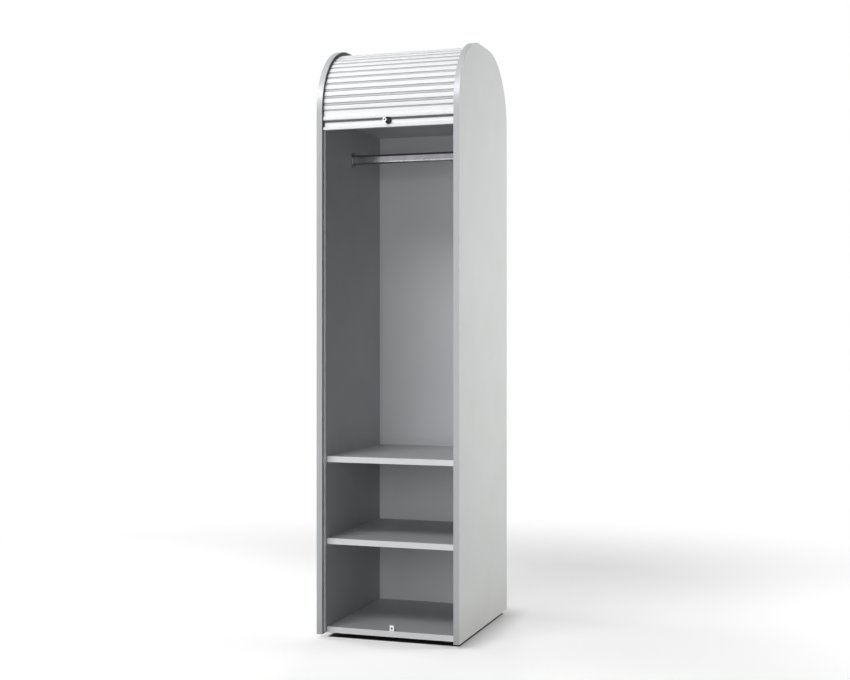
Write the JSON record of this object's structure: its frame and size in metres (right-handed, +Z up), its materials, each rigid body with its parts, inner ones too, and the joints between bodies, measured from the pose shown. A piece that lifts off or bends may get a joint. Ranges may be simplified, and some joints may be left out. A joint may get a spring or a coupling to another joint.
{
  "type": "tambour wardrobe",
  "caption": "Tall free-standing wardrobe with round-topped side panels, a slatted roller shutter that slides in grooves over the top, a hanging rail, shelves and a push lock with key.",
  "frame": {"origin": "on the floor, at the centre of the cabinet's footprint", "axes": "+X to the viewer's right, +Y from the open front to the back, +Z up"},
  "size_m": [0.46, 0.5517, 1.846],
  "materials": {
    "grey_board": "light grey melamine",
    "silver_edge": "silver edging, satin",
    "grey_edge": "light grey edging, satin",
    "black_plastic": "black, moulded",
    "zinc_steel": "zinc plated",
    "beech": "raw",
    "chrome_tube": "polished",
    "nickel_steel": "nickel plated",
    "white_slat": "white, satin",
    "white_aluminium": "white powder coat",
    "black_metal": "black, satin"
  },
  "bodies": {
    "cabinet": {"left_side_panel": "grey_board", "right_side_panel": "grey_board", "left_edge_band": "silver_edge", "right_edge_band": "silver_edge", "bottom_panel": "grey_board", "bottom_edge_band": "grey_edge", "lower_shelf": "grey_board", "lower_shelf_edge_band": "grey_edge", "upper_shelf": "grey_board", "upper_shelf_edge_band": "grey_edge", "ceiling_panel": "grey_board", "inner_back_panel": "grey_board", "outer_back_panel": "grey_board", "glides": "black_plastic", "shelf_pins": "zinc_steel", "dowels": "beech", "cam_housings": "zinc_steel", "cam_bolts": "zinc_steel", "hanging_rail": "chrome_tube", "left_rail_support": "chrome_tube", "right_rail_support": "chrome_tube", "support_screws": "zinc_steel", "striker_plate": "nickel_steel", "striker_screws": "zinc_steel", "tambour_arch_run": "white_slat", "tambour_rear_run": "white_slat"},
    "shutter": {"end_rail": "white_aluminium", "left_guide_shoe": "black_plastic", "right_guide_shoe": "black_plastic", "lock_housing": "black_metal"},
    "lock": {"lock_cylinder": "black_metal"},
    "key": {"lock_plug": "black_metal", "key": "nickel_steel"}
  },
  "joints": [
    {"name": "shutter_slide", "type": "slide", "parent": "cabinet", "child": "shutter", "axis": [0, 0, -1], "range_m": [0, 1.5525]},
    {"name": "lock_press", "type": "slide", "parent": "shutter", "child": "lock", "axis": [0, 1, 0], "range_m": [0, 0.01], "stiffness_N_per_m": 300},
    {"name": "key_turn", "type": "hinge", "parent": "lock", "child": "key", "pos_m": [0, -0.2685, 1.5885], "axis": [0, 1, 0], "range_deg": [0, 90]}
  ]
}
